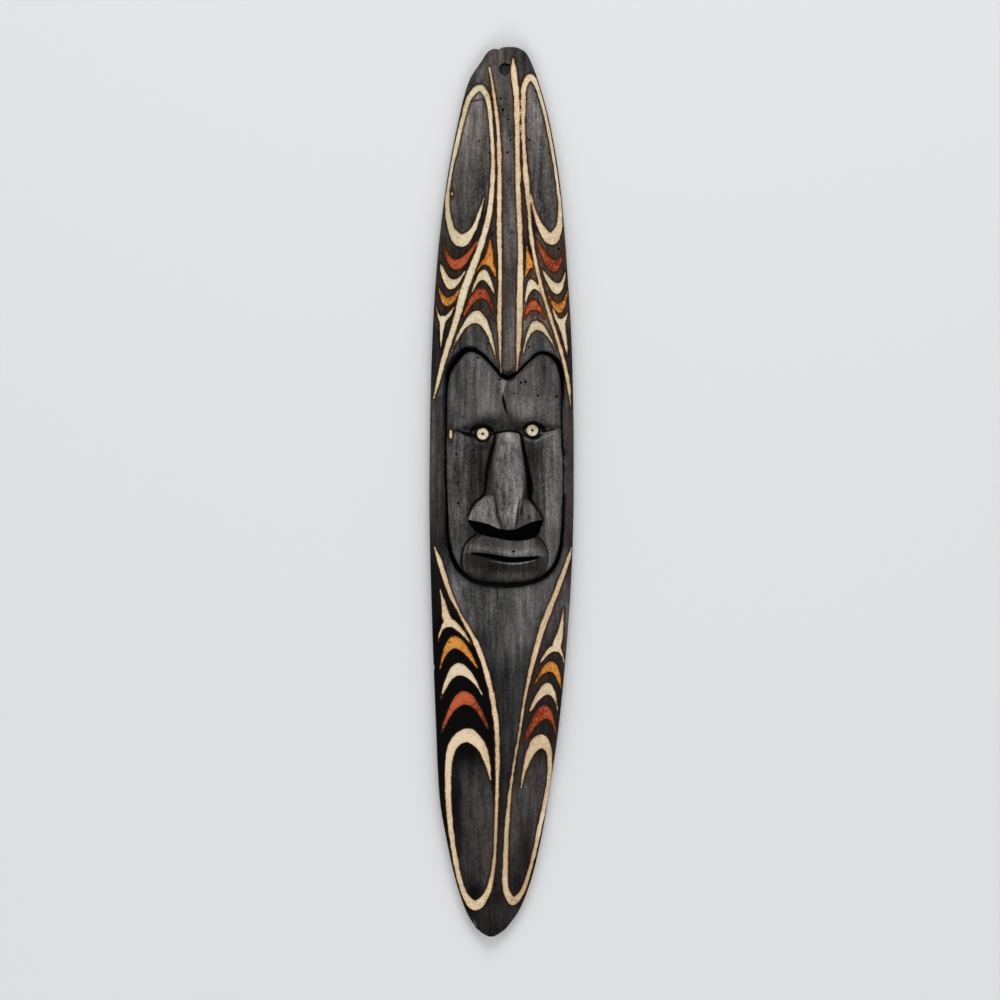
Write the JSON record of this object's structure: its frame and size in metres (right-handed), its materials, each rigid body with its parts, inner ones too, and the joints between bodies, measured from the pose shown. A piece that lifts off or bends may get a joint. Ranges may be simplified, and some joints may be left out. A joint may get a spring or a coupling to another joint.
{
  "type": "spirit mask board",
  "caption": "Long narrow carved wooden spirit board with a face in relief, grooved and painted line patterns, shell disc eyes and a hanging hole at the top.",
  "frame": {"origin": "middle of the board's length and width, on the plane of its flat back", "axes": "+Y along the board towards the end with the hanging hole, +Z out of the carved face, +X to the right when the face is seen upright"},
  "size_m": [0.0876, 0.54, 0.0261],
  "materials": {
    "stained_wood": "satin",
    "eye_shell": "satin"
  },
  "bodies": {
    "root": {"carved_board": "stained_wood", "left_eye_disc": "eye_shell", "right_eye_disc": "eye_shell"}
  },
  "joints": []
}
